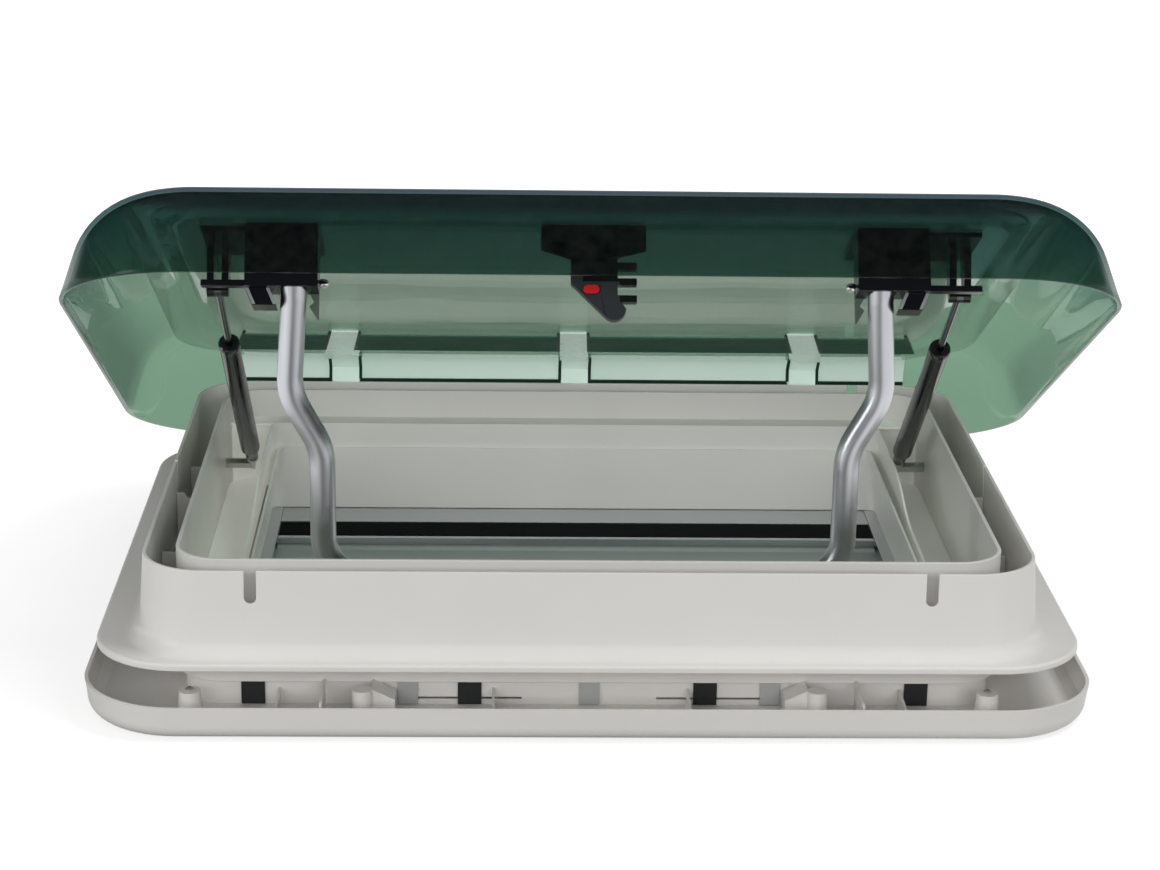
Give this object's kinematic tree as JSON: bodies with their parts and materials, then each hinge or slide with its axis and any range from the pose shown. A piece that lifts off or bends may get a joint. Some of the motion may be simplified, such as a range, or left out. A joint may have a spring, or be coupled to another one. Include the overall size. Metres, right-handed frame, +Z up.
{
  "type": "caravan roof vent",
  "caption": "Hinged rooflight vent with a tinted double dome, lifting bar and gas struts on a white roof frame, over an interior frame with pleated blinds.",
  "frame": {"origin": "centre of the roof cut-out on the roof's outer surface, which is the underside of the flange", "axes": "+Z up out of the roof, +X to the right along the hinge, +Y towards the hinge side"},
  "size_m": [0.888, 0.638, 0.4336],
  "materials": {
    "frame_white": "satin moulded",
    "liner_grey": "satin moulded",
    "tinted_acrylic": "polished, tinted green",
    "pale_acrylic": "polished, milky",
    "black_plastic": "satin moulded",
    "satin_aluminium": "satin anodised",
    "strut_black": "gloss coated",
    "steel": "ground",
    "red_plastic": "gloss",
    "black_mesh": "pleated net",
    "blackout_fabric": "pleated, coated",
    "grey_plastic": "satin moulded"
  },
  "bodies": {
    "frame": {"outer_frame": "frame_white", "frame_liner": "liner_grey", "shaft_frame": "liner_grey", "interior_tray": "frame_white", "tray_screws": "steel", "neck_clips": "black_plastic", "spring_clips": "grey_plastic", "blind_rail_left": "satin_aluminium", "blind_rail_right": "satin_aluminium", "blind_cassette": "satin_aluminium", "closing_profile": "satin_aluminium", "hinge_blocks": "frame_white", "hinge_pins": "steel", "strut_posts": "steel", "latch_striker": "black_plastic", "flyscreen_pleats": "black_mesh", "blackout_pleats": "blackout_fabric"},
    "dome": {"dome_outer_shell": "tinted_acrylic", "dome_inner_shell": "tinted_acrylic", "hinge_arms": "pale_acrylic", "corner_bracket_left": "black_plastic", "corner_bracket_right": "black_plastic", "pivot_bolts": "steel", "strut_pins": "steel", "latch_bracket": "black_plastic", "latch_pin": "steel"},
    "bar": {"lifting_bar": "satin_aluminium", "bar_heads": "satin_aluminium"},
    "latch": {"latch_hook": "black_plastic"},
    "button": {"release_button": "red_plastic"},
    "left_strut_rod": {"strut_rod_left": "steel"},
    "left_strut_cylinder": {"strut_cylinder_left": "strut_black", "strut_foot_left": "steel"},
    "right_strut_rod": {"strut_rod_right": "steel"},
    "right_strut_cylinder": {"strut_cylinder_right": "strut_black", "strut_foot_right": "steel"},
    "flyscreen": {"flyscreen_bar": "satin_aluminium"},
    "blackout": {"blackout_bar": "satin_aluminium"}
  },
  "joints": [
    {"name": "dome_hinge", "type": "hinge", "parent": "frame", "child": "dome", "pos_m": [0, 0.292, 0.064], "axis": [-1, 0, 0], "range_deg": [-29, 19]},
    {"name": "bar_swing", "type": "hinge", "parent": "dome", "child": "bar", "pos_m": [0, -0.16909, 0.29444], "axis": [1, 0, 0], "range_deg": [-8, 60]},
    {"name": "latch_turn", "type": "hinge", "parent": "dome", "child": "latch", "pos_m": [0, -0.17023, 0.30993], "axis": [0, 0.8746, -0.4848], "range_deg": [0, 90]},
    {"name": "button_press", "type": "slide", "parent": "latch", "child": "button", "axis": [0, 0.8746, -0.4848], "range_m": [0, 0.0025], "stiffness_N_per_m": 400, "springref_m": -0.001},
    {"name": "flyscreen_pull", "type": "slide", "parent": "frame", "child": "flyscreen", "axis": [0, -1, 0], "range_m": [0, 0.33], "deforming": ["flyscreen_pleats"]},
    {"name": "blackout_pull", "type": "slide", "parent": "frame", "child": "blackout", "axis": [0, -1, 0], "range_m": [0, 0.276], "deforming": ["blackout_pleats"]},
    {"name": "left_rod_turn", "type": "hinge", "parent": "dome", "child": "left_strut_rod", "pos_m": [0, -0.11002, 0.27312], "axis": [1, 0, 0], "range_deg": [-2.9, 4.31]},
    {"name": "left_strut_slide", "type": "slide", "parent": "left_strut_rod", "child": "left_strut_cylinder", "axis": [0, 0.7643, -0.6448], "range_m": [-0.0464, 0.0305]},
    {"name": "right_rod_turn", "type": "hinge", "parent": "dome", "child": "right_strut_rod", "pos_m": [0, -0.11002, 0.27312], "axis": [1, 0, 0], "range_deg": [-2.9, 4.31]},
    {"name": "right_strut_slide", "type": "slide", "parent": "right_strut_rod", "child": "right_strut_cylinder", "axis": [0, 0.7643, -0.6448], "range_m": [-0.0464, 0.0305]}
  ],
  "couplings": [
    {"joint": "left_rod_turn", "follows": "dome_hinge", "ratio": -0.14049},
    {"joint": "left_strut_slide", "follows": "dome_hinge", "m_per_rad": 0.0897},
    {"joint": "right_rod_turn", "follows": "dome_hinge", "ratio": -0.14049},
    {"joint": "right_strut_slide", "follows": "dome_hinge", "m_per_rad": 0.0897}
  ]
}
